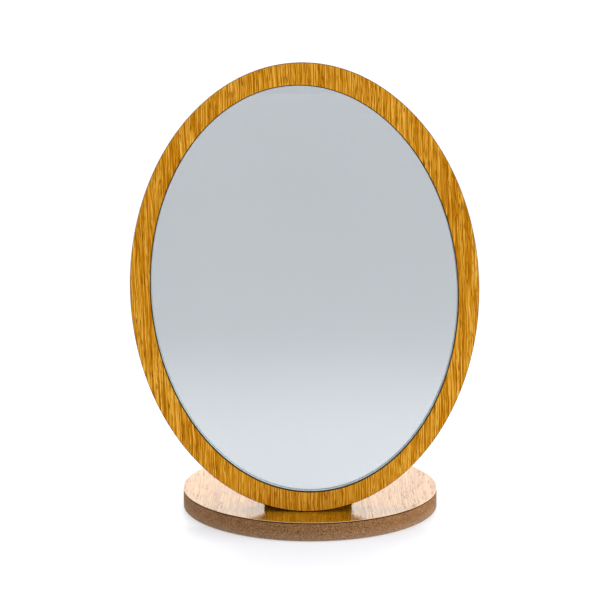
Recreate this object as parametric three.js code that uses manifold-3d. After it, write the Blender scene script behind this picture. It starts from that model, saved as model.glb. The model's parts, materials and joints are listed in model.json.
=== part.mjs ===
// Oval tabletop mirror: a wood-grain framed glass that tilts on a friction butt hinge
// above a round laminated base. Millimetres, +Z up, the mirror faces -Y.
// The origin is the centre of the felt underside, the face that rests on the table.

import * as THREE from 'three';
import { mergeVertices } from 'three/addons/utils/BufferGeometryUtils.js';
import Module from 'manifold-3d';

const wasm = await Module();
wasm.setup();

// ---------- driving dimensions ----------

// sheet stock shared by the base and the frame
const laminateThickness = 0.5;
const glueLine = 0.25; // the gap kept between pieces that lie on each other

// base
const baseDiameter = 140;
const baseBoardThickness = 9;
const feltThickness = 0.3;
const feltInset = 2;

// frame panel, measured in its own plane
const frameWidth = 180.3;
const frameHeight = 234.2;
const frameBoardThickness = 8.5;
const frameTwist = -1.66; // degrees: the panel is screwed on with its top a little to the left
const frameOffset = 0.2; // along X, from the centre of the base
const lean = 1.5; // degrees back from upright at rest

// mirror glass and the pocket it is bonded into
const glassWidth = 158.2;
const glassHeight = 211.9;
const glassThickness = 3;
const glassArris = 0.4;
const glassInset = 0.2;
const glassRise = 0.15; // above the middle of the pocket
const backingThickness = 0.3;
const pocketClearance = 0.35;
const pocketTwist = -2.03; // degrees: the pocket is routed a little further round than the outline
const pocketOffset = { x: -0.1, z: -0.5 }; // from the centre of the outline

// foam tape strips behind the mirror
const tapeWidth = 16;
const tapeLength = 140;
const tapeThickness = 0.8;
const tapeSpacing = 44;
const tapeCount = 3;

// hinge
const hingeLength = 46.5;
const hingeOffset = -1.3; // along X, from the centre of the base
const hingeAxisY = -38.6;
const leafThickness = 1.2;
const leafReach = 17;
const pinRadius = 1.2;
const boreClearance = 0.1;
const knuckleCount = 5;
const washerThickness = 0.6;
const washerPlay = 0.15; // each side of a washer
const knuckleRelief = 0.4; // cut-back of a leaf around the other leaf's knuckles
const heelClearance = 0.2; // base top to the rear lower edge of the frame

// countersunk screws, three to a leaf
const screwHeadRadius = 2.3;
const screwHeadHeight = 1.05;
const screwShankRadius = 1.25;
const screwClearance = 0.2;
const baseScrewLength = 8;
const frameScrewLength = 5.8;
const crossRecess = [2.4, 0.5, 0.9]; // a bar's length, width and height, centred on the head's top
const screwSpots = [[-15, 7], [0, 12.5], [15, 7]]; // along the hinge, away from its axis

// smoothness of the round shapes
const outlineSegments = 64; // a full ellipse gets twice as many sides
const knuckleSides = 32;
const boreSides = 20;
const screwSides = 20;

const overrun = 1; // how far a cutting shape reaches past what it cuts
const weldDistance = 1e-4;

// ---------- derived dimensions ----------

const degrees = Math.PI / 180;
const baseRadius = baseDiameter / 2;
const baseBoardBottom = feltThickness + glueLine;
const baseLaminateBottom = baseBoardBottom + baseBoardThickness + glueLine;
const baseTop = baseLaminateBottom + laminateThickness;

const panelThickness = 2 * laminateThickness + 2 * glueLine + frameBoardThickness;
const boardDepth = laminateThickness + glueLine;
const backingDepth = glassInset + glassThickness + glueLine;
const tapeDepth = backingDepth + backingThickness + glueLine;
const pocketDepth = tapeDepth + tapeThickness + glueLine;

const boreRadius = pinRadius + boreClearance;
const knuckleRadius = boreRadius + leafThickness;
const axisStandoff = knuckleRadius + glueLine; // hinge axis to the base top, and to the panel's back
const hingeAxisZ = baseTop + axisStandoff;
const knucklePitch = (hingeLength + washerThickness + 2 * washerPlay) / knuckleCount;
const knuckleLength = knucklePitch - washerThickness - 2 * washerPlay;
const panelFoot = heelClearance - axisStandoff * (1 + Math.sin(lean * degrees));

// ---------- materials ----------

const finishes = {
  glossOak: { color: 0xc2862a, roughness: 0.15 },
  satinOak: { color: 0xc2862a, roughness: 0.3 },
  rawBoard: { color: 0x86603f, roughness: 0.85 },
  felt: { color: 0x4a3a30, roughness: 0.95 },
  glass: { color: 0xbfc8cc, roughness: 0.02 },
  silver: { color: 0xc4ccd2, roughness: 0.05, metalness: 1 },
  foam: { color: 0xe8e4da, roughness: 0.9 },
  bronze: { color: 0x3a2c22, roughness: 0.45, metalness: 0.8 },
  zincSteel: { color: 0x8f8a82, roughness: 0.4, metalness: 0.9 },
  springSteel: { color: 0x9a958d, roughness: 0.5, metalness: 0.6 },
};

// ---------- solids ----------

// Turns a closed three.js geometry into a manifold solid that can be cut or joined.
function toSolid(geometry) {
  const bare = geometry.clone();
  bare.deleteAttribute('normal');
  bare.deleteAttribute('uv');
  const merged = mergeVertices(bare, weldDistance);
  const vertProperties = new Float32Array(merged.attributes.position.array);
  const triVerts = new Uint32Array(merged.index.array);
  return new wasm.Manifold(new wasm.Mesh({ numProp: 3, vertProperties, triVerts }));
}

function toGeometry(solid) {
  const { vertProperties, triVerts } = solid.getMesh();
  const geometry = new THREE.BufferGeometry();
  geometry.setAttribute('position', new THREE.BufferAttribute(vertProperties, 3));
  geometry.setIndex(new THREE.BufferAttribute(triVerts, 1));
  const flat = geometry.toNonIndexed();
  flat.computeVertexNormals();
  return flat;
}

function cut(geometry, tools) {
  return toGeometry(tools.reduce((solid, tool) => solid.subtract(toSolid(tool)), toSolid(geometry)));
}

function join(geometries) {
  return toGeometry(geometries.map(toSolid).reduce((sum, solid) => sum.add(solid)));
}

function part(name, geometry, finish) {
  const mesh = new THREE.Mesh(geometry, new THREE.MeshStandardMaterial(finish));
  mesh.name = name;
  return mesh;
}

// A flat disc lying in the XY plane from one height to another.
function disc(radius, bottom, thickness) {
  const geometry = new THREE.CylinderGeometry(radius, radius, thickness, 2 * outlineSegments);
  return geometry.rotateX(Math.PI / 2).translate(0, 0, bottom + thickness / 2);
}

function ellipse(width, height) {
  return new THREE.Shape().absellipse(0, 0, width / 2, height / 2, 0, 2 * Math.PI);
}

// An upright oval plate. Depth is counted backwards (+Y) from the panel's front face, and the
// oval's centre is at the origin of X and Z.
function ovalPlate(width, height, depth, thickness, arris = 0) {
  const geometry = new THREE.ExtrudeGeometry(ellipse(width, height), {
    depth: thickness - 2 * arris,
    curveSegments: outlineSegments,
    bevelEnabled: arris > 0,
    bevelSize: arris,
    bevelThickness: arris,
    bevelOffset: -arris,
    bevelSegments: 1,
  });
  return geometry.rotateX(Math.PI / 2).translate(0, depth + thickness - arris, 0);
}

// The space routed out for the glass, reaching from in front of the panel to the given depth.
function pocket(depth) {
  const width = glassWidth + 2 * pocketClearance;
  const height = glassHeight + 2 * pocketClearance;
  return placeInPocket(ovalPlate(width, height, -overrun, depth + overrun));
}

function placeInPocket(geometry) {
  return geometry.rotateY(pocketTwist * degrees).translate(pocketOffset.x, 0, pocketOffset.z);
}

// ---------- screws ----------

// Half-section of a countersunk screw with its head's top at height 0 and its point below.
function screwProfile(length, grow = 0) {
  const shank = screwShankRadius + grow;
  const tip = length + grow;
  return [
    [0, 0],
    [screwHeadRadius + grow, 0],
    [shank, -screwHeadHeight],
    [shank, -(tip - screwShankRadius)],
    [0, -tip],
  ].map(([radius, height]) => new THREE.Vector2(radius, height));
}

// A lathed screw body whose axis is Z, head up.
function screwBody(length, grow) {
  const profile = screwProfile(length, grow).reverse();
  return new THREE.LatheGeometry(profile, screwSides).rotateX(Math.PI / 2);
}

function screw(length) {
  const bar = (angle) => new THREE.BoxGeometry(...crossRecess).rotateZ(angle * degrees);
  const bars = [0, 90].map(bar);
  return cut(screwBody(length, 0), bars);
}

// The hole a screw needs, with the mouth of its countersink carried up past the leaf's face.
function screwHole(length) {
  const radius = screwHeadRadius + screwClearance;
  const mouth = new THREE.CylinderGeometry(radius, radius, overrun, screwSides);
  mouth.rotateX(Math.PI / 2).translate(0, 0, overrun / 2);
  return join([screwBody(length, screwClearance), mouth]);
}

// ---------- hinge ----------

// Hinge geometry is drawn with its axis on X, its plate lying flat below the axis and
// reaching towards +Y. The frame's leaf is the same drawing stood upright.

function knuckleCentre(index) {
  return -hingeLength / 2 + knuckleLength / 2 + index * knucklePitch;
}

function axisCylinder(radius, length, centre, sides) {
  const geometry = new THREE.CylinderGeometry(radius, radius, length, sides);
  return geometry.rotateZ(Math.PI / 2).translate(centre, 0, 0);
}

function block(x0, x1, y0, y1, z0, z1) {
  const geometry = new THREE.BoxGeometry(x1 - x0, y1 - y0, z1 - z0);
  return geometry.translate((x0 + x1) / 2, (y0 + y1) / 2, (z0 + z1) / 2);
}

// parity 0 takes the first, third and fifth knuckles, parity 1 the second and fourth.
function hingeLeaf(parity, screwLength) {
  const half = hingeLength / 2;
  const bottom = -knuckleRadius;
  const solids = [block(-half, half, 0, leafReach, bottom, bottom + leafThickness)];
  const tools = [axisCylinder(boreRadius, hingeLength + 2 * overrun, 0, boreSides)];
  for (let index = 0; index < knuckleCount; index += 1) {
    const centre = knuckleCentre(index);
    if (index % 2 === parity) {
      solids.push(axisCylinder(knuckleRadius, knuckleLength, centre, knuckleSides));
    } else {
      const gap = knuckleLength / 2 + washerThickness + 2 * washerPlay;
      const start = Math.max(centre - gap, -half - overrun);
      const end = Math.min(centre + gap, half + overrun);
      const reach = knuckleRadius + overrun;
      tools.push(block(start, end, -reach, knuckleRadius + knuckleRelief, -reach, reach));
    }
  }
  for (const [along, away] of screwSpots) {
    tools.push(screwHole(screwLength).translate(along, away, bottom + leafThickness));
  }
  return cut(join(solids), tools);
}

function washer(index) {
  const centre = knuckleCentre(index) + knucklePitch / 2;
  const ring = axisCylinder(knuckleRadius, washerThickness, centre, knuckleSides);
  return cut(ring, [axisCylinder(boreRadius, 2 * washerThickness, centre, boreSides)]);
}

// Stands a hinge-space geometry up against the back of the panel.
function standUp(geometry) {
  return geometry.rotateX(Math.PI / 2).rotateZ(Math.PI);
}

// ---------- base ----------

function placeBaseScrews(make) {
  const headTop = baseTop + glueLine + leafThickness;
  return screwSpots.map(([along, away]) =>
    make(baseScrewLength).translate(hingeOffset + along, hingeAxisY + away, headTop));
}

function buildBase() {
  const group = new THREE.Group();
  const holes = placeBaseScrews(screwHole);
  const felt = disc(baseRadius - feltInset, 0, feltThickness);
  const board = disc(baseRadius, baseBoardBottom, baseBoardThickness);
  const laminate = disc(baseRadius, baseLaminateBottom, laminateThickness);
  group.add(part('base_felt', felt, finishes.felt));
  group.add(part('base_board', cut(board, holes), finishes.rawBoard));
  group.add(part('base_laminate', cut(laminate, holes), finishes.glossOak));
  placeBaseScrews(screw).forEach((geometry, index) => {
    group.add(part(`base_screw_${index + 1}`, geometry, finishes.zincSteel));
  });
  return group;
}

function buildFixedHinge() {
  const group = new THREE.Group();
  group.position.set(hingeOffset, hingeAxisY, hingeAxisZ);
  const pin = axisCylinder(pinRadius, hingeLength, 0, boreSides);
  group.add(part('hinge_base_leaf', hingeLeaf(0, baseScrewLength), finishes.bronze));
  group.add(part('hinge_pin', pin, finishes.zincSteel));
  for (let index = 0; index < knuckleCount - 1; index += 1) {
    group.add(part(`hinge_washer_${index + 1}`, washer(index), finishes.springSteel));
  }
  return group;
}

// ---------- tilting panel ----------

// The frame's screws, in the hinge's own axes: heads to the rear, points to the front.
function placeFrameScrews(make) {
  return screwSpots.map(([along, away]) => {
    const geometry = make(frameScrewLength).translate(along, away, leafThickness - knuckleRadius);
    return standUp(geometry).translate(hingeOffset, 0, 0);
  });
}

// Moves geometry from the hinge's axes into the panel's, whose origin is the oval's centre on
// the front face.
function intoPanel(geometry) {
  return geometry
    .translate(-frameOffset, axisStandoff + panelThickness, -panelFoot)
    .rotateY(-frameTwist * degrees)
    .translate(0, 0, -frameHeight / 2);
}

function buildPanel() {
  const group = new THREE.Group();
  const holes = placeFrameScrews(screwHole).map(intoPanel);
  const oval = (depth, thickness) => ovalPlate(frameWidth, frameHeight, depth, thickness);
  const face = cut(oval(0, laminateThickness), [pocket(panelThickness)]);
  const board = cut(oval(boardDepth, frameBoardThickness), [pocket(pocketDepth), ...holes]);
  const back = cut(oval(panelThickness - laminateThickness, laminateThickness), holes);
  group.add(part('frame_face_laminate', face, finishes.satinOak));
  group.add(part('frame_board', board, finishes.rawBoard));
  group.add(part('frame_back_laminate', back, finishes.satinOak));

  const glass = ovalPlate(glassWidth, glassHeight, glassInset, glassThickness, glassArris);
  const backing = ovalPlate(glassWidth, glassHeight, backingDepth, backingThickness);
  glass.translate(0, 0, glassRise);
  backing.translate(0, 0, glassRise);
  group.add(part('mirror_glass', placeInPocket(glass), finishes.glass));
  group.add(part('mirror_silvering', placeInPocket(backing), finishes.silver));
  for (let index = 0; index < tapeCount; index += 1) {
    const centre = (index - (tapeCount - 1) / 2) * tapeSpacing;
    const strip = new THREE.BoxGeometry(tapeWidth, tapeThickness, tapeLength);
    strip.translate(centre, tapeDepth + tapeThickness / 2, 0);
    group.add(part(`mounting_tape_${index + 1}`, placeInPocket(strip), finishes.foam));
  }
  return group;
}

function buildTiltingFrame() {
  const group = new THREE.Group();
  group.position.set(0, hingeAxisY, hingeAxisZ);
  group.rotation.x = -lean * degrees;

  const leaf = standUp(hingeLeaf(1, frameScrewLength)).translate(hingeOffset, 0, 0);
  group.add(part('hinge_frame_leaf', leaf, finishes.bronze));
  placeFrameScrews(screw).forEach((geometry, index) => {
    group.add(part(`frame_screw_${index + 1}`, geometry, finishes.zincSteel));
  });

  // the panel turns about its foot and is then drawn from the oval's centre
  const foot = new THREE.Group();
  foot.position.set(frameOffset, -axisStandoff - panelThickness, panelFoot);
  foot.rotation.y = frameTwist * degrees;
  const panel = buildPanel();
  panel.position.z = frameHeight / 2;
  foot.add(panel);
  group.add(foot);
  return group;
}

const mirror = new THREE.Group();
mirror.add(buildBase(), buildFixedHinge(), buildTiltingFrame());

export default mirror;
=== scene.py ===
"""Oval tabletop mirror on a round base: fine meshes, materials, light and camera around the CAD."""

import json
import math

import bmesh
import bpy
from mathutils import Matrix, Vector


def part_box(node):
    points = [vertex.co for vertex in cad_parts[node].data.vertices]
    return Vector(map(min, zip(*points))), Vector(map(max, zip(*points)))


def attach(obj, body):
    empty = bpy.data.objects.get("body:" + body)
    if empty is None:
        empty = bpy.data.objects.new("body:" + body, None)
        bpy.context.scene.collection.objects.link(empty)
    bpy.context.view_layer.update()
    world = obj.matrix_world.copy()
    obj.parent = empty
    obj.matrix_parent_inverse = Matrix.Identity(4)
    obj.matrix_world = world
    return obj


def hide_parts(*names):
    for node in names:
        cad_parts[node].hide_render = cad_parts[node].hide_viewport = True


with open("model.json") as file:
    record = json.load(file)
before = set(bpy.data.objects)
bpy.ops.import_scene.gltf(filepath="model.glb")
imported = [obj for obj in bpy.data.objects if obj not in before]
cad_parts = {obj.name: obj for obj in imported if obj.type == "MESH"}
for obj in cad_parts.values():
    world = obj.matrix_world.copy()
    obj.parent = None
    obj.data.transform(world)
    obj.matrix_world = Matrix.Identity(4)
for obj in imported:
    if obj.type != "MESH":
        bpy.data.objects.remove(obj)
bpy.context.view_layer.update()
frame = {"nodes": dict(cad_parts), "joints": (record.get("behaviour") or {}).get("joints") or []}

# ---------- sizes in metres, as in the CAD model ----------

FRAME_WIDTH = 0.1803
FRAME_HEIGHT = 0.2342
FRAME_OFFSET = 0.0002
PANEL_DEPTH = 0.010
SHEET = 0.0005
TWIST = math.radians(-1.66)
GLASS_WIDTH = 0.1582
GLASS_HEIGHT = 0.2119
GLASS_THICKNESS = 0.003
GLASS_INSET = 0.0002
GLASS_RISE = 0.00015
POCKET_CLEARANCE = 0.00035
POCKET_DEPTH = 0.00505
POCKET_TWIST = math.radians(-2.03)
POCKET_OFFSET = (-0.0001, 0, -0.0005)
SILVERING_DEPTH = 0.00345
SILVERING = 0.0003

HINGE_LENGTH = 0.0465
LEAF = 0.0012
LEAF_REACH = 0.017
LEAF_CORNER = 0.0022
PIN_RADIUS = 0.0012
BORE_RADIUS = 0.0013
KNUCKLE_RADIUS = 0.0025
KNUCKLES = 5
WASHER = 0.0006
WASHER_PLAY = 0.00015
KNUCKLE_RELIEF = 0.0004
AXIS_STANDOFF = 0.00275
HEEL_CLEARANCE = 0.0002
SCREW_SPOTS = ((-0.015, 0.007), (0, 0.0125), (0.015, 0.007))
SCREW_HEAD = 0.0023
SCREW_HEAD_HEIGHT = 0.00105
SCREW_SHANK = 0.00125
SCREW_CLEARANCE = 0.0002
BASE_SCREW_LENGTH = 0.008
FRAME_SCREW_LENGTH = 0.0058

# the finish of the edges, which only the looks need
CONTACT = 0.00003  # hair gap that keeps touching faces apart
BOARD_EASE = 0.00015
GLUE_AND_SHADE_LINE = 0.0003  # dark band where the board meets the laminate: partly a real glue line, partly painted shade of the groove under the sheet
BASE_EDGE_EASE = 0.00015
SHEET_FOOT_EASE = 0.00002
FELT_EASE = 0.00015
FELT_TOP_EASE = 0.00005
FRAME_EDGE_EASE = 0.00024
GLASS_ARRIS = 0.00012
REAR_ARRIS = 0.00005
LEAF_EASE = 0.00012
WASHER_EASE = 0.00008
PIN_EASE = 0.0003
PAINTED_BOUNCE_HEIGHT = 0.0055  # the base board's edge is painted paler and greyer up to here, as light bounced from the floor

# the screws' heads and points
HEAD_RIM = 0.97  # where the head's rim starts to ease, as a share of its radius
HEAD_RIM_EASE = 0.00003
BLUNT_POINT = 0.4  # as a share of the shank's radius
RECESS_SPAN = 0.0024
RECESS_WIDTH = 0.0005
RECESS_DEPTH = 0.00045
SCREW_TURN_DEGREES = 25  # each screw stops this much further round than the last one

# how finely curves are divided, how edges are told apart, and how far cutters run past the metal
OVAL_POINTS = 288
KNUCKLE_SIDES = 64
BORE_SIDES = 40
SCREW_SIDES = 48
CORNER_STEPS = 8
SHARP_DEGREES = 32
FLAT_DEGREES = 1  # metal faces that differ by less become one face
EASED_DEGREES = 40  # metal edges sharper than this are rounded
CUTTER_OVERRUN = 0.001

# the studio, in linear light
FLOOR_HALF_WIDTH = 15
FLOOR_GLOW_NEAR = (0.25, 0.42)  # distance from the base's centre, and glow up to there
FLOOR_GLOW_FAR = (0.80, 0.265)  # the same for the far floor
BACKDROP = (2.62, 2.58, 2.48)
ROOM_HORIZON = (0.77, 0.79, 0.84)
ROOM_FRONT = (1.08, 1.09, 1.13)
ROOM_CEILING = (0.55, 0.555, 0.57)
SOFTBOXES = (  # name, place, aim, width and height, watts
    ("overhead", (0.02, 0.012, 0.60), (0.02, 0.012, 0), (0.5, 0.24), 2.3),
    ("side", (1.46, -0.225, 0.30), (0.03, -0.05, 0), (0.60, 0.40), 13.1),
)

# the photo's camera, as fitted to the base's two ellipses
CAMERA_PLACE = (-0.0056, -0.96285, 0.29130)
CAMERA_DIP_DEGREES = 10.413
SENSOR_MM = 36
LENS_MM = 108
NEAREST_SEEN = 0.01

# ---------- places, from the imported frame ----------

TILT = frame["joints"][0]
HINGE = Vector(TILT["pos_m"])
LEAN = math.radians(-TILT["range_deg"][0])  # the panel's forward stop is upright
BOARD_LOW, BOARD_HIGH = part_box("base_board")
SHEET_LOW, SHEET_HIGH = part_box("base_laminate")
FELT_LOW, FELT_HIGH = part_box("base_felt")
BASE_RADIUS = (BOARD_HIGH.x - BOARD_LOW.x) / 2
FELT_RADIUS = (FELT_HIGH.x - FELT_LOW.x) / 2

PANEL_FOOT = HEEL_CLEARANCE - AXIS_STANDOFF * (1 + math.sin(LEAN))
HINGE_FRAME = Matrix.Translation(HINGE)
TILTED = HINGE_FRAME @ Matrix.Rotation(-LEAN, 4, "X")
UPRIGHT = Matrix.Rotation(math.pi, 4, "Z") @ Matrix.Rotation(math.pi / 2, 4, "X")
STANDING = TILTED @ UPRIGHT  # the upper leaf, built lying flat like the lower one
PANEL = (
    Matrix.Translation((FRAME_OFFSET, HINGE.y, HINGE.z))
    @ Matrix.Rotation(-LEAN, 4, "X")
    @ Matrix.Translation((0, -AXIS_STANDOFF - PANEL_DEPTH, PANEL_FOOT))
    @ Matrix.Rotation(TWIST, 4, "Y")
    @ Matrix.Translation((0, 0, FRAME_HEIGHT / 2))
)
POCKET = PANEL @ Matrix.Translation(POCKET_OFFSET) @ Matrix.Rotation(POCKET_TWIST, 4, "Y")
INTO_PANEL = PANEL.inverted() @ POCKET
MIRROR = POCKET @ Matrix.Translation((0, 0, GLASS_RISE))

# ---------- mesh helpers ----------


def oval(width, height, depth, inset=0.0, place=Matrix.Identity(4)):
    """A ring of points on an ellipse in X and Z, moved inwards along its normals."""
    ring = []
    for i in range(OVAL_POINTS):
        angle = 2 * math.pi * i / OVAL_POINTS
        x, z = width / 2 * math.cos(angle), height / 2 * math.sin(angle)
        normal = Vector((x / width**2, 0, z / height**2)).normalized()
        ring.append(place @ (Vector((x, depth, z)) - inset * normal))
    return ring


def circle(radius, height):
    """A level ring of points round the Z axis."""
    step = 2 * math.pi / OVAL_POINTS
    return [
        Vector((radius * math.cos(i * step), radius * math.sin(i * step), height))
        for i in range(OVAL_POINTS)
    ]


def loft(rings, wrap=False, slots=None):
    """Quads from ring to ring. The end rings are capped, or joined to each other with wrap.

    slots gives a material index for each band of quads, and then for the two caps.
    """
    bm = bmesh.new()
    loops = [[bm.verts.new(point) for point in ring] for ring in rings]
    bands = list(zip(loops, loops[1:]))
    if wrap:
        bands.append((loops[-1], loops[0]))
    slots = slots or [0] * (len(bands) + 2)
    for band, (lower, upper) in enumerate(bands):
        for i in range(len(lower)):
            j = (i + 1) % len(lower)
            face = bm.faces.new((lower[i], lower[j], upper[j], upper[i]))
            face.material_index = slots[band]
    if not wrap:
        for cap, loop in enumerate((loops[0], loops[-1])):
            bm.faces.new(loop).material_index = slots[len(bands) + cap]
    bmesh.ops.recalc_face_normals(bm, faces=bm.faces)
    return bm


def add_grain(mesh, space, turned):
    """Stores where each point lies across, along and through the wood grain, in metres.

    The grain runs along the space's Y, or along its Z with turned.
    """
    grain = mesh.attributes.new("grain", "FLOAT_VECTOR", "POINT")
    for vertex, item in zip(mesh.vertices, grain.data):
        x, y, z = space @ vertex.co
        item.vector = (x, z, y) if turned else (x, y, z)


def shade(mesh):
    """Smooth shading, except across sharp edges."""
    for polygon in mesh.polygons:
        polygon.use_smooth = True
    mesh.set_sharp_from_angle(angle=math.radians(SHARP_DEGREES))


def piece(name, bm, materials, body, nodes, place=Matrix.Identity(4)):
    """Makes a mesh object in the row frame that rides on a body and stands for CAD nodes."""
    bm.transform(place)
    mesh = bpy.data.meshes.new(name)
    bm.to_mesh(mesh)
    bm.free()
    shade(mesh)
    for material in materials:
        mesh.materials.append(material)
    obj = bpy.data.objects.new(name, mesh)
    bpy.context.scene.collection.objects.link(obj)
    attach(obj, body)
    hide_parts(*nodes)
    return obj


# ---------- material helpers ----------


class Graph:
    """A node tree under construction, with short calls for the nodes that the finishes use."""

    def __init__(self, tree):
        self.tree = tree

    def add(self, kind, inputs=(), **settings):
        made = self.tree.nodes.new(kind)
        for key, value in settings.items():
            setattr(made, key, value)
        for key, value in dict(inputs).items():
            self.feed(made.inputs[key], value)
        return made

    def feed(self, socket, value):
        if isinstance(value, bpy.types.NodeSocket):
            self.tree.links.new(value, socket)
        else:
            socket.default_value = value

    def noise(self, vector, scale, detail=2.0, rough=0.5):
        """Noise with a scale for each axis, in cycles per metre."""
        spread = self.add("ShaderNodeVectorMath", {0: vector, 1: scale}, operation="MULTIPLY")
        inputs = {"Vector": spread.outputs[0], "Scale": 1.0, "Detail": detail, "Roughness": rough}
        return self.add("ShaderNodeTexNoise", inputs).outputs["Fac"]

    def ramp(self, value, low, high, out_low=0.0, out_high=1.0, curve="LINEAR"):
        """Maps low..high to out_low..out_high, and holds the ends."""
        inputs = {"Value": value, "From Min": low, "From Max": high}
        inputs.update({"To Min": out_low, "To Max": out_high})
        return self.add("ShaderNodeMapRange", inputs, clamp=True, interpolation_type=curve).outputs[0]

    def mix(self, factor, first, second):
        """A colour between two others. The node keeps its colour sockets after its number sockets."""
        mixer = self.add("ShaderNodeMix", data_type="RGBA")
        self.feed(mixer.inputs[0], factor)
        self.feed(mixer.inputs[6], first)
        self.feed(mixer.inputs[7], second)
        return mixer.outputs[2]

    def calc(self, operation, first, second):
        return self.add("ShaderNodeMath", {0: first, 1: second}, operation=operation).outputs[0]

    def bump(self, height, strength, distance):
        inputs = {"Height": height, "Strength": strength, "Distance": distance}
        return self.add("ShaderNodeBump", inputs).outputs[0]


class Finish(Graph):
    """A material's node tree, and where its pattern lies in the object."""

    def __init__(self, name):
        self.material = bpy.data.materials.new(name)
        self.material.use_nodes = True
        super().__init__(self.material.node_tree)
        self.shader = self.tree.nodes["Principled BSDF"]
        self.place = self.add("ShaderNodeTexCoord").outputs["Object"]

    def finish(self, **inputs):
        """Feeds the surface's inputs, named with _ for each space, and returns the material."""
        for key, value in inputs.items():
            self.feed(self.shader.inputs[key.replace("_", " ")], value)
        return self.material


def rgb(red, green, blue):
    return (red, green, blue, 1.0)


# ---------- finishes ----------


def oak(name, tones, rough, waviness, gloss):
    """Printed golden-oak laminate: broad tone, streaks, fine fibres and short dark pores.

    tones are the colours of the pores and of the dark, middle and light wood. The grain lines sway
    sideways by up to waviness, in metres.
    """
    pore_tone, dark, middle, light = tones
    g = Finish(name)
    grain = g.add("ShaderNodeAttribute", attribute_name="grain").outputs["Vector"]
    sway = g.noise(grain, (24, 30, 24))
    shift = g.add("ShaderNodeCombineXYZ", {"X": g.ramp(sway, 0.25, 0.75, -waviness, waviness)})
    flow = g.add("ShaderNodeVectorMath", {0: grain, 1: shift.outputs[0]}, operation="ADD").outputs[0]

    broad = g.noise(flow, (130, 8, 130))
    streak = g.noise(flow, (1500, 10, 1500), rough=0.6)
    fibre = g.noise(flow, (2500, 60, 2500), rough=0.6)
    pore = g.noise(flow, (2200, 180, 2200), detail=1)
    cluster = g.noise(flow, (300, 36, 300))

    tone = g.calc("ADD", g.ramp(broad, 0.35, 0.65, -0.16, 0.08), g.ramp(streak, 0.36, 0.64))
    tone = g.calc("ADD", tone, g.ramp(fibre, 0.35, 0.65, -0.5, 0.5))
    colour = g.mix(g.ramp(tone, 0, 0.6), dark, middle)
    colour = g.mix(g.ramp(tone, 0.5, 1.1), colour, light)
    pits = g.calc("MULTIPLY", g.ramp(pore, 0.53, 0.64), g.ramp(cluster, 0.40, 0.58, 0.2, 1))
    colour = g.mix(g.calc("MULTIPLY", pits, 0.8), colour, pore_tone)
    height = g.calc("SUBTRACT", g.calc("MULTIPLY", fibre, 0.3), pits)
    dulling = g.calc("ADD", g.calc("MULTIPLY", pits, 0.7), g.ramp(tone, 0, 1, 0.45, 0))
    return g.finish(
        Base_Color=colour,
        Roughness=g.ramp(fibre, 0.2, 0.8, rough, rough + 0.06),
        Specular_IOR_Level=g.ramp(dulling, 0, 1, gloss, 0.1 * gloss),
        Normal=g.bump(height, 0.12, 0.0001),
    )


def fibreboard():
    """Raw sanded board edge: brown, finely speckled, with a few pale fibres, and painted paler at its
    foot as bounce light from the floor.
    """
    g = Finish("raw_fibreboard")
    cloud = g.noise(g.place, (160, 160, 380), detail=3)
    speck = g.noise(g.place, (1700, 1700, 2300), rough=0.7)
    fleck = g.noise(g.place, (1300, 1300, 2800), detail=1)
    tone = g.calc("ADD", g.ramp(cloud, 0.35, 0.65, 0.2, 0.34), g.ramp(speck, 0.3, 0.7, -0.5, 0.86))
    colour = g.mix(g.ramp(tone, 0, 1), rgb(0.08, 0.027, 0.005), rgb(0.39, 0.20, 0.078))
    colour = g.mix(g.ramp(fleck, 0.66, 0.74, 0, 0.5), colour, rgb(0.55, 0.38, 0.22))
    height_up = g.add("ShaderNodeSeparateXYZ", {0: g.place}).outputs["Z"]
    # painted light: the edge turns paler and greyer towards its foot, standing in for light bounced up
    # from the floor
    painted_bounce = g.ramp(height_up, 0, PAINTED_BOUNCE_HEIGHT, 0.42, 0)
    painted_bounce = g.calc("MULTIPLY", painted_bounce, g.ramp(speck, 0.3, 0.7, 0.5, 1))
    colour = g.mix(painted_bounce, colour, rgb(0.40, 0.30, 0.22))
    height = g.calc("ADD", speck, g.calc("MULTIPLY", cloud, 0.5))
    return g.finish(
        Base_Color=colour,
        Roughness=0.7,
        Specular_IOR_Level=0.15,
        Normal=g.bump(height, 0.4, 0.0002),
    )


def trimmed_edge(name, first, second, rough):
    """The cut edge of a laminate sheet or of the glue line, trimmed flush with the board, in the
    colours given; the base's rim colours add a painted highlight.
    """
    g = Finish(name)
    nick = g.noise(g.place, (900, 900, 900))
    colour = g.mix(g.ramp(nick, 0.35, 0.65), first, second)
    return g.finish(Base_Color=colour, Roughness=rough, Specular_IOR_Level=0.2)


def felt():
    """Short brown felt with a soft sheen."""
    g = Finish("brown_felt")
    fuzz = g.noise(g.place, (2600, 2600, 2600), detail=3, rough=0.7)
    return g.finish(
        Base_Color=g.mix(g.ramp(fuzz, 0.3, 0.7), rgb(0.03, 0.019, 0.012), rgb(0.10, 0.066, 0.045)),
        Roughness=0.95,
        Sheen_Weight=0.4,
        Normal=g.bump(fuzz, 0.8, 0.0003),
    )


def clear_glass():
    """Float glass that lamps shine through, so that what lies behind it is lit."""
    g = Finish("clear_float_glass")
    haze = g.noise(g.place, (30, 30, 30))
    g.finish(
        Base_Color=rgb(0.965, 0.985, 0.98),
        Roughness=g.ramp(haze, 0.3, 0.7, 0.0, 0.004),
        IOR=1.52,
        Transmission_Weight=1.0,
    )
    passing = g.add("ShaderNodeBsdfTransparent", {"Color": rgb(0.9, 0.95, 0.94)})
    path = g.add("ShaderNodeLightPath")
    both = g.add("ShaderNodeMixShader", {0: path.outputs["Is Shadow Ray"]})
    g.feed(both.inputs[1], g.shader.outputs[0])
    g.feed(both.inputs[2], passing.outputs[0])
    g.feed(g.tree.nodes["Material Output"].inputs["Surface"], both.outputs[0])
    return g.material


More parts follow.
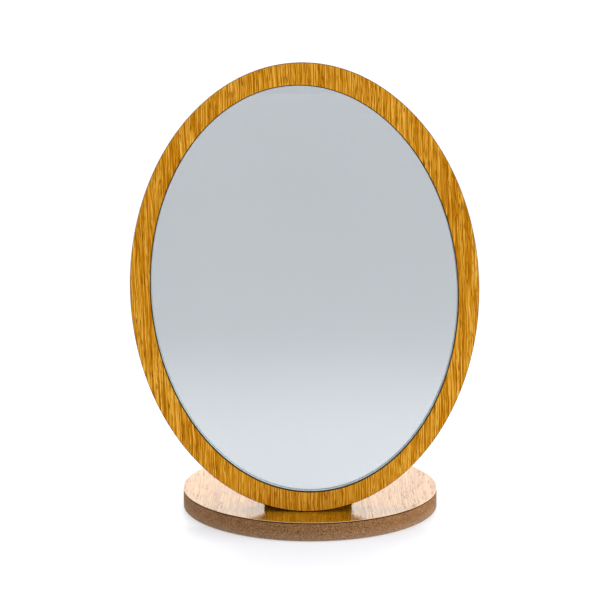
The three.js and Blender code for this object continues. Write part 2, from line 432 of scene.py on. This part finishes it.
def ground_glass(name, first, second, rough):
    """Finely frosted glass, for the seamed edge and its arris."""
    g = Finish(name)
    frost = g.noise(g.place, (2200, 2200, 2200))
    return g.finish(
        Base_Color=g.mix(g.ramp(frost, 0.3, 0.7), first, second),
        Roughness=rough,
        Normal=g.bump(frost, 0.2, 0.0001),
    )


def silver():
    """The reflecting face of the silvering, dimmed to what the photo shows in the glass."""
    g = Finish("mirror_silver")
    cloud = g.noise(g.place, (14, 14, 14), detail=1)
    colour = g.mix(g.ramp(cloud, 0.3, 0.7), rgb(0.675, 0.68, 0.70), rgb(0.69, 0.695, 0.715))
    return g.finish(Base_Color=colour, Metallic=1.0, Roughness=0.0)


def backing_paint():
    """The grey protective paint behind the silvering."""
    g = Finish("mirror_backing_paint")
    cloud = g.noise(g.place, (300, 300, 300))
    colour = g.mix(g.ramp(cloud, 0.3, 0.7), rgb(0.10, 0.11, 0.12), rgb(0.14, 0.15, 0.16))
    return g.finish(Base_Color=colour, Roughness=0.6)


def foam_tape():
    """White double-sided foam."""
    g = Finish("white_foam_tape")
    cell = g.noise(g.place, (3000, 3000, 3000))
    colour = g.mix(g.ramp(cell, 0.3, 0.7), rgb(0.62, 0.6, 0.55), rgb(0.82, 0.8, 0.76))
    return g.finish(Base_Color=colour, Roughness=0.9, Normal=g.bump(cell, 0.4, 0.0002))


def metal(name, dark, bright, rough, metallic):
    """Satin metal with faint brushing and cloudy patches."""
    g = Finish(name)
    cloud = g.noise(g.place, (350, 350, 350), detail=3)
    brush = g.noise(g.place, (120, 2600, 2600))
    tone = g.calc("ADD", g.ramp(cloud, 0.3, 0.7, 0, 0.6), g.ramp(brush, 0.3, 0.7, 0, 0.4))
    return g.finish(
        Base_Color=g.mix(tone, dark, bright),
        Metallic=metallic,
        Roughness=g.ramp(cloud, 0.3, 0.7, rough, rough + 0.12),
        Normal=g.bump(brush, 0.08, 0.0001),
    )


FRAME_TONES = (
    rgb(0.20, 0.055, 0.0003),
    rgb(0.375, 0.123, 0.0001),
    rgb(0.625, 0.264, 0.009),
    rgb(0.85, 0.46, 0.066),
)
# the base's top is the same laminate as the frame, with its tones painted darker all over as the
# panel's shade on the base
SHADED_BASE_TONES = (
    rgb(0.17, 0.058, 0.0003),
    rgb(0.29, 0.11, 0.0003),
    rgb(0.37, 0.155, 0.003),
    rgb(0.46, 0.22, 0.012),
)
FRAME_OAK = oak("golden_oak_frame", FRAME_TONES, 0.3, 0.0008, gloss=0.03)
# the base's oak is glossier than the frame's, and carries the darker tones painted as shade
SHADED_BASE_OAK = oak("golden_oak_base_painted_shade", SHADED_BASE_TONES, 0.15, 0.0015, gloss=0.66)
BOARD = fibreboard()
# the base's eased rim: the pale cut edge of the laminate, brightened further as a painted highlight
# along the rim
TRIM_AND_HIGHLIGHT = trimmed_edge("trimmed_arris_painted_highlight", rgb(0.62, 0.40, 0.18), rgb(0.80, 0.56, 0.30), 0.25)
CORE = trimmed_edge("laminate_core", rgb(0.045, 0.016, 0.002), rgb(0.085, 0.034, 0.006), 0.5)
FELT = felt()
GLASS = clear_glass()
SEAM = ground_glass("glass_seam", rgb(0.62, 0.86, 0.84), rgb(0.78, 0.96, 0.94), 0.32)
ARRIS = ground_glass("glass_arris", rgb(0.62, 0.70, 0.68), rgb(0.74, 0.82, 0.80), 0.22)
SILVER = silver()
PAINT = backing_paint()
FOAM = foam_tape()
BRONZE = metal("bronzed_steel", rgb(0.022, 0.014, 0.009), rgb(0.07, 0.045, 0.03), 0.36, 0.7)
ZINC = metal("zinc_steel", rgb(0.28, 0.26, 0.23), rgb(0.5, 0.48, 0.44), 0.3, 1.0)
SPRING = metal("spring_steel", rgb(0.3, 0.29, 0.28), rgb(0.45, 0.44, 0.43), 0.26, 1.0)

# ---------- base ----------


def turned_disc(radius, low, high, ease_low, ease_high, slots=None):
    """A disc with its two rims eased.

    slots are for the lower ease, the wall, the upper ease, the underside and the top.
    """
    rings = [
        circle(radius - ease_low, low),
        circle(radius, low + ease_low),
        circle(radius, high - ease_high),
        circle(radius - ease_high, high),
    ]
    return loft(rings, slots=slots)


def build_base():
    low, high = FELT_HIGH.z + CONTACT, SHEET_LOW.z - CONTACT
    # the board's upper ease takes the dark core colour: a glue line, and painted shade under the
    # sheet's edge
    board = turned_disc(BASE_RADIUS, low, high, BOARD_EASE, GLUE_AND_SHADE_LINE, [0, 0, 1, 0, 0])
    piece("base_core_board", board, [BOARD, CORE], "stand", ["base_board"])

    low, high = SHEET_LOW.z, SHEET_HIGH.z
    sheet = turned_disc(BASE_RADIUS, low, high, SHEET_FOOT_EASE, BASE_EDGE_EASE, [2, 2, 1, 2, 0])
    skin = [SHADED_BASE_OAK, TRIM_AND_HIGHLIGHT, CORE]
    top = piece("base_top_sheet", sheet, skin, "stand", ["base_laminate"])
    add_grain(top.data, Matrix.Identity(4), turned=False)

    pad = turned_disc(FELT_RADIUS, FELT_LOW.z, FELT_HIGH.z, FELT_EASE, FELT_TOP_EASE)
    piece("base_felt_disc", pad, [FELT], "stand", ["base_felt"])


# ---------- framed mirror ----------


def frame_ring(depth, inset=0.0):
    """The frame's outline, at a depth behind its face."""
    return oval(FRAME_WIDTH, FRAME_HEIGHT, depth, inset)


def pocket_ring(depth, outset=0.0):
    """The glass pocket's outline, at a depth behind the frame's face."""
    width = GLASS_WIDTH + 2 * POCKET_CLEARANCE
    height = GLASS_HEIGHT + 2 * POCKET_CLEARANCE
    return oval(width, height, depth, -outset, INTO_PANEL)


def build_frame():
    rear = PANEL_DEPTH - SHEET
    core = loft([
        frame_ring(rear - CONTACT),
        frame_ring(SHEET + CONTACT),
        pocket_ring(SHEET + CONTACT),
        pocket_ring(POCKET_DEPTH),
    ])
    piece("frame_core_board", core, [BOARD], "panel", ["frame_board"], PANEL)

    face = loft(
        [
            frame_ring(SHEET),
            frame_ring(FRAME_EDGE_EASE),
            frame_ring(0, FRAME_EDGE_EASE),
            pocket_ring(0, FRAME_EDGE_EASE),
            pocket_ring(FRAME_EDGE_EASE),
            pocket_ring(SHEET),
        ],
        wrap=True,
        slots=[1, 1, 0, 1, 1, 1],
    )
    skin = [FRAME_OAK, CORE]
    front = piece(
        "frame_face_sheet", face, skin, "panel", ["frame_face_laminate"], PANEL)
    add_grain(front.data, PANEL.inverted(), turned=True)

    sheet = loft(
        [
            frame_ring(rear),
            frame_ring(PANEL_DEPTH - FRAME_EDGE_EASE),
            frame_ring(PANEL_DEPTH, FRAME_EDGE_EASE),
        ],
        slots=[1, 1, 1, 0],
    )
    back = piece(
        "frame_back_sheet", sheet, skin, "panel", ["frame_back_laminate"], PANEL)
    add_grain(back.data, PANEL.inverted(), turned=True)


def build_glass():
    rear = GLASS_INSET + GLASS_THICKNESS
    rings = [
        oval(GLASS_WIDTH, GLASS_HEIGHT, rear, REAR_ARRIS),
        oval(GLASS_WIDTH, GLASS_HEIGHT, rear - REAR_ARRIS),
        oval(GLASS_WIDTH, GLASS_HEIGHT, GLASS_INSET + GLASS_ARRIS),
        oval(GLASS_WIDTH, GLASS_HEIGHT, GLASS_INSET, GLASS_ARRIS),
    ]
    pane = loft(rings, slots=[1, 1, 2, 0, 0])
    skin = [GLASS, SEAM, ARRIS]
    piece("looking_glass", pane, skin, "panel", ["mirror_glass"], MIRROR)

    film = loft(
        [
            oval(GLASS_WIDTH, GLASS_HEIGHT, SILVERING_DEPTH + SILVERING, REAR_ARRIS),
            oval(GLASS_WIDTH, GLASS_HEIGHT, rear + CONTACT, REAR_ARRIS),
        ],
        slots=[1, 1, 0],
    )
    piece("silvered_film", film, [SILVER, PAINT], "panel", ["mirror_silvering"], MIRROR)


# ---------- hinge ----------

PITCH = (HINGE_LENGTH + WASHER + 2 * WASHER_PLAY) / KNUCKLES
KNUCKLE_LENGTH = PITCH - WASHER - 2 * WASHER_PLAY


def knuckle_centre(index):
    """Where a knuckle's middle lies along the hinge."""
    return -HINGE_LENGTH / 2 + KNUCKLE_LENGTH / 2 + index * PITCH


def along_axis(radius, length, centre, sides=KNUCKLE_SIDES):
    """A closed cylinder on the hinge's axis, X."""
    bm = bmesh.new()
    place = Matrix.Translation((centre, 0, 0)) @ Matrix.Rotation(math.pi / 2, 4, "Y")
    bmesh.ops.create_cone(
        bm, cap_ends=True, segments=sides, radius1=radius, radius2=radius, depth=length, matrix=place)
    return bm


def plate_outline(parity):
    """The leaf's plan: rounded far corners, and notches round the other leaf's knuckles.

    parity is 0 for the leaf that holds the first knuckle, and 1 for the other.
    """
    half = HINGE_LENGTH / 2
    points = []
    for side, start in ((1, 0.0), (-1, math.pi / 2)):
        centre = Vector((side * (half - LEAF_CORNER), LEAF_REACH - LEAF_CORNER))
        for step in range(CORNER_STEPS + 1):
            angle = start + math.pi / 2 * step / CORNER_STEPS
            points.append(centre + LEAF_CORNER * Vector((math.cos(angle), math.sin(angle))))
    for index in range(KNUCKLES):
        reach = 0.0 if index % 2 == parity else KNUCKLE_RADIUS + KNUCKLE_RELIEF
        low = knuckle_centre(index) - KNUCKLE_LENGTH / 2
        high = low + KNUCKLE_LENGTH
        if reach:
            low -= WASHER + 2 * WASHER_PLAY
            high += WASHER + 2 * WASHER_PLAY
        points.append(Vector((max(low, -half), reach)))
        points.append(Vector((min(high, half), reach)))
    return points


def plate(parity):
    """The flat part of a leaf, level with the underside of the knuckles."""
    bm = bmesh.new()
    bottom = -KNUCKLE_RADIUS
    face = bm.faces.new([bm.verts.new((x, y, bottom)) for x, y in plate_outline(parity)])
    raised = bmesh.ops.extrude_face_region(bm, geom=[face])["geom"]
    upper = [item for item in raised if isinstance(item, bmesh.types.BMVert)]
    bmesh.ops.translate(bm, vec=(0, 0, LEAF), verts=upper)
    bmesh.ops.recalc_face_normals(bm, faces=bm.faces)
    return bm


def lathe(profile):
    """Turns a half-section that starts and ends on the axis round Z."""
    bm = bmesh.new()
    step = 2 * math.pi / SCREW_SIDES
    turns = [(math.cos(i * step), math.sin(i * step)) for i in range(SCREW_SIDES)]
    rings = []
    for radius, height in profile:
        if radius == 0:
            rings.append([bm.verts.new((0, 0, height))] * SCREW_SIDES)
            continue
        rings.append([bm.verts.new((radius * x, radius * y, height)) for x, y in turns])
    for lower, upper in zip(rings, rings[1:]):
        for i in range(SCREW_SIDES):
            j = (i + 1) % SCREW_SIDES
            corners = list(dict.fromkeys((lower[i], lower[j], upper[j], upper[i])))
            bm.faces.new(corners)
    bmesh.ops.recalc_face_normals(bm, faces=bm.faces)
    return bm


def screw_hole(length):
    """The cutter for a countersunk screw's hole, with its mouth carried above the plate."""
    head = SCREW_HEAD + SCREW_CLEARANCE
    shank = SCREW_SHANK + SCREW_CLEARANCE
    return lathe([
        (0, -length - SCREW_CLEARANCE),
        (shank, SCREW_SHANK - length - SCREW_CLEARANCE),
        (shank, -SCREW_HEAD_HEIGHT),
        (head, 0),
        (head, CUTTER_OVERRUN),
        (0, CUTTER_OVERRUN),
    ])


def scratch(bm):
    """A temporary object for a modifier to work on."""
    mesh = bpy.data.meshes.new("scratch")
    bm.to_mesh(mesh)
    bm.free()
    obj = bpy.data.objects.new("scratch", mesh)
    bpy.context.scene.collection.objects.link(obj)
    return obj


def carve(start, joins, cuts):
    """Joins and then cuts closed meshes, and returns the result."""
    target = scratch(start)
    tools = [(scratch(bm), "UNION") for bm in joins] + [(scratch(bm), "DIFFERENCE") for bm in cuts]
    for tool, operation in tools:
        modifier = target.modifiers.new(operation, "BOOLEAN")
        modifier.operation = operation
        modifier.solver = "EXACT"
        modifier.object = tool
    return bake(target, [tool for tool, _ in tools])


def bake(target, tools=()):
    """Applies an object's modifiers into a new bmesh and removes the temporary objects."""
    graph = bpy.context.evaluated_depsgraph_get()
    bm = bmesh.new()
    bm.from_object(target, graph)
    for obj in (target, *tools):
        mesh = obj.data
        bpy.data.objects.remove(obj)
        bpy.data.meshes.remove(mesh)
    return bm


def soften(bm, width, segments=2):
    """Rounds the sharp edges of a carved mesh."""
    bmesh.ops.dissolve_limit(bm, angle_limit=math.radians(FLAT_DEGREES), verts=bm.verts, edges=bm.edges)
    target = scratch(bm)
    modifier = target.modifiers.new("bevel", "BEVEL")
    modifier.width = width
    modifier.segments = segments
    modifier.limit_method = "ANGLE"
    modifier.angle_limit = math.radians(EASED_DEGREES)
    return bake(target)


def leaf(parity, screw_length):
    """One hinge leaf in the hinge's own axes, plate flat below the pin."""
    own = [i for i in range(KNUCKLES) if i % 2 == parity]
    joins = [along_axis(KNUCKLE_RADIUS, KNUCKLE_LENGTH, knuckle_centre(i)) for i in own]
    cuts = [along_axis(BORE_RADIUS, HINGE_LENGTH + 2 * CUTTER_OVERRUN, 0, BORE_SIDES)]
    for along, away in SCREW_SPOTS:
        hole = screw_hole(screw_length)
        hole.transform(Matrix.Translation((along, away, LEAF - KNUCKLE_RADIUS)))
        cuts.append(hole)
    return soften(carve(plate(parity), joins, cuts), LEAF_EASE)


def screw(length):
    """A countersunk screw with a blunt point, an eased head rim and a cross recess."""
    point = BLUNT_POINT * SCREW_SHANK
    rim = HEAD_RIM * SCREW_HEAD
    profile = [
        (0, -length),
        (point, -length + point),
        (SCREW_SHANK, SCREW_SHANK - length),
        (SCREW_SHANK, -SCREW_HEAD_HEIGHT),
        (rim, -2 * HEAD_RIM_EASE),
        (SCREW_HEAD, -HEAD_RIM_EASE),
        (rim, 0),
        (0, 0),
    ]
    bar_size = Matrix.Diagonal((RECESS_SPAN, RECESS_WIDTH, 2 * RECESS_DEPTH, 1))
    bars = []
    for angle in (0, math.pi / 2):
        bar = bmesh.new()
        bmesh.ops.create_cube(bar, size=1, matrix=Matrix.Rotation(angle, 4, "Z") @ bar_size)
        bars.append(bar)
    return carve(lathe(profile), [], bars)


def washer(index):
    """The spring washer that follows a knuckle."""
    centre = knuckle_centre(index) + PITCH / 2
    ring = along_axis(KNUCKLE_RADIUS, WASHER, centre)
    bore = along_axis(BORE_RADIUS, 2 * WASHER, centre, BORE_SIDES)
    return soften(carve(ring, [], [bore]), WASHER_EASE)


def build_hinge():
    lower = leaf(0, BASE_SCREW_LENGTH)
    piece(
        "hinge_lower_leaf", lower, [BRONZE], "stand", ["hinge_base_leaf"], HINGE_FRAME)
    upper = leaf(1, FRAME_SCREW_LENGTH)
    piece("hinge_upper_leaf", upper, [BRONZE], "panel", ["hinge_frame_leaf"], STANDING)
    pin = soften(along_axis(PIN_RADIUS, HINGE_LENGTH, 0, BORE_SIDES), PIN_EASE, segments=3)
    piece("hinge_pintle", pin, [ZINC], "stand", ["hinge_pin"], HINGE_FRAME)
    for index in range(KNUCKLES - 1):
        name = f"spring_washer_{index + 1}"
        nodes = [f"hinge_washer_{index + 1}"]
        piece(name, washer(index), [SPRING], "stand", nodes, HINGE_FRAME)


def build_screws():
    sets = (
        ("base", BASE_SCREW_LENGTH, "stand", HINGE_FRAME),
        ("frame", FRAME_SCREW_LENGTH, "panel", STANDING),
    )
    for index, (along, away) in enumerate(SCREW_SPOTS, start=1):
        head = Matrix.Translation((along, away, LEAF - KNUCKLE_RADIUS))
        turn = Matrix.Rotation(math.radians(SCREW_TURN_DEGREES * index), 4, "Z")
        for part, length, body, leaf_place in sets:
            name = f"{part}_fixing_screw_{index}"
            nodes = [f"{part}_screw_{index}"]
            place = leaf_place @ head @ turn
            piece(name, screw(length), [ZINC], body, nodes, place)


def dress_tapes():
    """The tape strips keep their CAD shape and only get their material."""
    for name, node in frame["nodes"].items():
        if name.startswith("mounting_tape"):
            node.data.materials.clear()
            node.data.materials.append(FOAM)


# ---------- floor, light and camera ----------


def build_floor():
    """A pale floor with a glow of its own, stronger near the base, so that the shade there is soft."""
    g = Finish("pale_floor")
    cloud = g.noise(g.place, (3, 3, 3))
    colour = g.mix(g.ramp(cloud, 0.3, 0.7), rgb(0.495, 0.50, 0.515), rgb(0.505, 0.51, 0.525))
    away = g.add("ShaderNodeVectorMath", {0: g.place}, operation="LENGTH").outputs["Value"]
    near, near_glow = FLOOR_GLOW_NEAR
    far, far_glow = FLOOR_GLOW_FAR
    glow = g.ramp(away, near, far, near_glow, far_glow, curve="SMOOTHSTEP")
    g.finish(
        Base_Color=colour,
        Roughness=0.34,
        IOR=1.12,
        Emission_Color=rgb(0.98, 0.98, 1.0),
        Emission_Strength=glow,
    )
    bm = bmesh.new()
    bmesh.ops.create_grid(bm, x_segments=1, y_segments=1, size=FLOOR_HALF_WIDTH)
    mesh = bpy.data.meshes.new("floor")
    bm.to_mesh(mesh)
    bm.free()
    mesh.materials.append(g.material)
    floor = bpy.data.objects.new("floor", mesh)
    bpy.context.scene.collection.objects.link(floor)


def build_world():
    """A bright backdrop behind the object, in a cooler and dimmer room.

    The ramps work on a ray's direction: Z is the sine of its height, and Y is 1 straight behind.
    """
    world = bpy.data.worlds.new("studio")
    bpy.context.scene.world = world
    world.use_nodes = True
    g = Graph(world.node_tree)
    ray = g.add("ShaderNodeTexCoord").outputs["Generated"]
    parts = g.add("ShaderNodeSeparateXYZ", {0: ray}).outputs
    rising = g.ramp(parts["Z"], 0.03, 0.40, curve="SMOOTHSTEP")
    topping = g.ramp(parts["Z"], 0.60, 0.95, curve="SMOOTHSTEP")
    facing = g.ramp(parts["Y"], 0.2, -0.4, curve="SMOOTHSTEP")
    front = g.mix(g.calc("MULTIPLY", rising, facing), rgb(*ROOM_HORIZON), rgb(*ROOM_FRONT))
    room = g.mix(topping, front, rgb(*ROOM_CEILING))
    lit = g.mix(g.ramp(parts["Y"], 0.55, 0.92, curve="SMOOTHSTEP"), room, rgb(*BACKDROP))
    g.feed(g.tree.nodes["Background"].inputs["Color"], lit)


def add_softbox(name, place, aim, size, power):
    """An area light that doesn't show in the mirror or through the glass."""
    light = bpy.data.lights.new(name, "AREA")
    light.shape = "RECTANGLE"
    light.size, light.size_y = size
    light.energy = power
    obj = bpy.data.objects.new(name, light)
    obj.location = place
    obj.rotation_euler = (Vector(aim) - Vector(place)).to_track_quat("-Z", "Y").to_euler()
    obj.visible_glossy = False
    obj.visible_transmission = False
    bpy.context.scene.collection.objects.link(obj)


def build_lights():
    for softbox in SOFTBOXES:
        add_softbox(*softbox)


def build_camera():
    """The photo's view, nearly a metre in front and 0.3 m up, in plain tones."""
    camera = bpy.data.cameras.new("camera")
    camera.sensor_width = SENSOR_MM
    camera.lens = LENS_MM
    camera.clip_start = NEAREST_SEEN
    obj = bpy.data.objects.new("camera", camera)
    obj.location = CAMERA_PLACE
    obj.rotation_euler = (math.radians(90 - CAMERA_DIP_DEGREES), 0, 0)
    bpy.context.scene.collection.objects.link(obj)
    bpy.context.scene.camera = obj
    bpy.context.scene.view_settings.view_transform = "Standard"


build_base()
build_frame()
build_glass()
build_hinge()
build_screws()
dress_tapes()
build_floor()
build_world()
build_lights()
build_camera()
